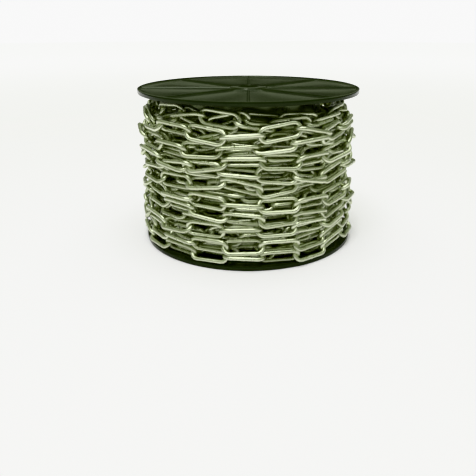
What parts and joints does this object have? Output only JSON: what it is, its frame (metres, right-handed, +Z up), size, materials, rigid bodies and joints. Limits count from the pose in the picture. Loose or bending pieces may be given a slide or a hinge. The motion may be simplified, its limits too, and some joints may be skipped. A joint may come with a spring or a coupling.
{
  "type": "reel of steel chain",
  "caption": "Black plastic reel wound full of welded long-link steel chain, standing on one flange, with a spindle hole through its middle.",
  "frame": {"origin": "on the floor under the middle of the reel, on the axis of its spindle hole", "axes": "+Z up along the reel's axis, from the flange that it stands on to the top flange; -Y towards the viewer of the picture"},
  "size_m": [0.24, 0.24, 0.167],
  "materials": {
    "chain": "zinc plated and drawn wire, bright, with a faint olive tint",
    "inner_chain": "zinc plated wire, seen in the shade of the outer layer",
    "flange": "black moulded plastic with a soft sheen",
    "barrel": "black moulded plastic"
  },
  "bodies": {
    "root": {"bottom_flange": "flange", "top_flange": "flange", "barrel": "barrel", "chain_inner_layers": "inner_chain", "chain_turn_01": "chain", "chain_turn_02": "chain", "chain_turn_03": "chain", "chain_turn_04": "chain", "chain_turn_05": "chain", "chain_turn_06": "chain", "chain_turn_07": "chain", "chain_turn_08": "chain", "chain_turn_09": "chain", "chain_turn_10": "chain", "chain_turn_11": "chain", "chain_turn_12": "chain"}
  },
  "joints": []
}
